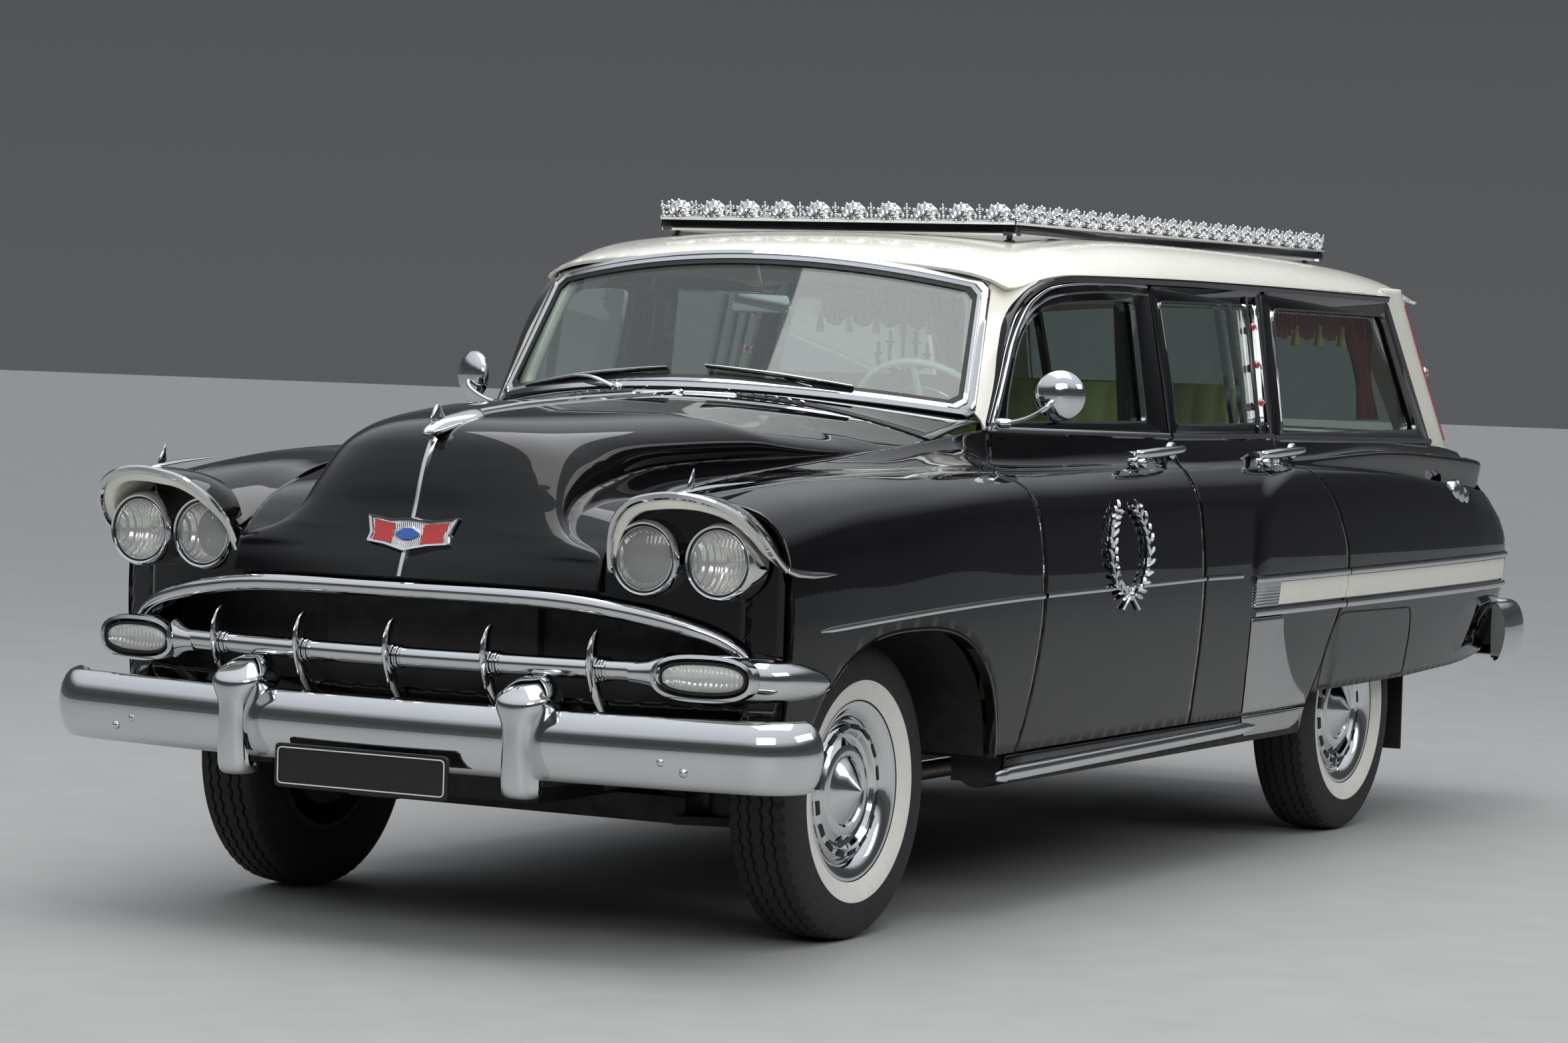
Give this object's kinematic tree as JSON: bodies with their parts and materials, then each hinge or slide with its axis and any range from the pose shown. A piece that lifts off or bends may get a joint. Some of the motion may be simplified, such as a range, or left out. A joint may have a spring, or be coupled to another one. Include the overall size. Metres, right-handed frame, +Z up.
{
  "type": "hearse",
  "caption": "Black and cream estate-bodied hearse with chrome grille, roof gallery, hollow cabin and load space, opening doors, bonnet and tailgate, and steered wheels that roll.",
  "frame": {"origin": "on the ground, midway along and across the car", "axes": "+Z up, -Y towards the front of the car, +X towards its left side"},
  "size_m": [2.0242, 4.9358, 1.716],
  "materials": {
    "tyre": "satin",
    "wheel_chrome": "polished",
    "window_glass": "polished",
    "black_paint": "gloss",
    "cream_paint": "gloss",
    "chrome": "polished",
    "lamp_glass": "polished",
    "red_glass": "polished",
    "seat_leather": "satin",
    "curtain_cloth": "matte",
    "mat_rubber": "matte",
    "wheel_plastic": "gloss",
    "dash_paint": "satin",
    "deck_wood": "gloss",
    "chassis_black": "satin",
    "exhaust_steel": "brushed"
  },
  "bodies": {
    "body": {"casket_deck": "deck_wood", "chassis_frame": "chassis_black", "cowl": "black_paint", "curtains": "curtain_cloth", "dashboard": "dash_paint", "engine": "chassis_black", "exhaust": "exhaust_steel", "fender_left": "black_paint", "fender_right": "black_paint", "fender_skirts": "black_paint", "floor_pan": "chassis_black", "front_bumper": "chrome", "front_lamps": "lamp_glass", "front_seat": "seat_leather", "front_suspension": "chassis_black", "fuel_tank": "chassis_black", "grille": "chrome", "lamp_visors": "cream_paint", "mud_flaps": "mat_rubber", "nose_panel": "black_paint", "quarter_glass_left": "window_glass", "quarter_glass_right": "window_glass", "quarter_left": "black_paint", "quarter_right": "black_paint", "rear_axle": "chassis_black", "rear_bumper": "chrome", "rear_seat": "seat_leather", "roof": "cream_paint", "roof_gallery": "chrome", "tail_lamps": "red_glass", "windshield": "window_glass"},
    "front_left_wheel": {"tyre_front_left": "tyre", "wheel_front_left": "wheel_chrome"},
    "front_right_wheel": {"tyre_front_right": "tyre", "wheel_front_right": "wheel_chrome"},
    "rear_left_wheel": {"tyre_rear_left": "tyre", "wheel_rear_left": "wheel_chrome"},
    "rear_right_wheel": {"tyre_rear_right": "tyre", "wheel_rear_right": "wheel_chrome"},
    "left_knuckle": {"knuckle_left": "chassis_black"},
    "right_knuckle": {"knuckle_right": "chassis_black"},
    "left_front_door": {"door_front_left": "black_paint", "door_glass_front_left": "window_glass", "mirror_left": "chrome"},
    "right_front_door": {"door_front_right": "black_paint", "door_glass_front_right": "window_glass", "mirror_right": "chrome"},
    "left_rear_door": {"door_rear_left": "black_paint", "door_glass_rear_left": "window_glass"},
    "right_rear_door": {"door_rear_right": "black_paint", "door_glass_rear_right": "window_glass"},
    "bonnet": {"hood": "black_paint"},
    "tailgate": {"tailgate": "black_paint"},
    "rear_window": {"liftgate": "cream_paint", "liftgate_glass": "window_glass"},
    "steering_wheel": {"steering_wheel": "wheel_plastic"}
  },
  "joints": [
    {"name": "left_steering", "type": "hinge", "parent": "body", "child": "left_knuckle", "pos_m": [0.632, -1.655, 0.34], "axis": [0, 0, 1], "range_deg": [-30, 30]},
    {"name": "right_steering", "type": "hinge", "parent": "body", "child": "right_knuckle", "pos_m": [-0.632, -1.655, 0.34], "axis": [0, 0, 1], "range_deg": [-30, 30]},
    {"name": "front_left_spin", "type": "hinge", "parent": "left_knuckle", "child": "front_left_wheel", "pos_m": [0.72, -1.655, 0.34], "axis": [1, 0, 0], "continuous": true},
    {"name": "front_right_spin", "type": "hinge", "parent": "right_knuckle", "child": "front_right_wheel", "pos_m": [-0.72, -1.655, 0.34], "axis": [1, 0, 0], "continuous": true},
    {"name": "rear_left_spin", "type": "hinge", "parent": "body", "child": "rear_left_wheel", "pos_m": [0.744, 1.266, 0.34], "axis": [1, 0, 0], "continuous": true},
    {"name": "rear_right_spin", "type": "hinge", "parent": "body", "child": "rear_right_wheel", "pos_m": [-0.744, 1.266, 0.34], "axis": [1, 0, 0], "continuous": true},
    {"name": "steering_wheel_turn", "type": "hinge", "parent": "body", "child": "steering_wheel", "pos_m": [0.37, -0.505, 1.14], "axis": [0, 0.8192, 0.5736], "range_deg": [-480, 480]},
    {"name": "left_front_door_swing", "type": "hinge", "parent": "body", "child": "left_front_door", "pos_m": [0.945, -1.104, 0.9], "axis": [0, 0, -1], "range_deg": [0, 65]},
    {"name": "right_front_door_swing", "type": "hinge", "parent": "body", "child": "right_front_door", "pos_m": [-0.945, -1.104, 0.9], "axis": [0, 0, 1], "range_deg": [0, 65]},
    {"name": "left_rear_door_swing", "type": "hinge", "parent": "body", "child": "left_rear_door", "pos_m": [0.945, -0.052, 0.9], "axis": [0, 0, -1], "range_deg": [0, 65]},
    {"name": "right_rear_door_swing", "type": "hinge", "parent": "body", "child": "right_rear_door", "pos_m": [-0.945, -0.052, 0.9], "axis": [0, 0, 1], "range_deg": [0, 65]},
    {"name": "bonnet_lift", "type": "hinge", "parent": "body", "child": "bonnet", "pos_m": [0, -1.114, 1.219], "axis": [-1, 0, 0], "range_deg": [0, 55]},
    {"name": "tailgate_drop", "type": "hinge", "parent": "body", "child": "tailgate", "pos_m": [0, 2.288, 0.634], "axis": [-1, 0, 0], "range_deg": [0, 90]},
    {"name": "rear_window_lift", "type": "hinge", "parent": "body", "child": "rear_window", "pos_m": [0, 1.94, 1.552], "axis": [1, 0, 0], "range_deg": [0, 75]}
  ],
  "couplings": [
    {"joint": "right_steering", "follows": "left_steering", "ratio": 1},
    {"joint": "steering_wheel_turn", "follows": "left_steering", "ratio": 16}
  ]
}
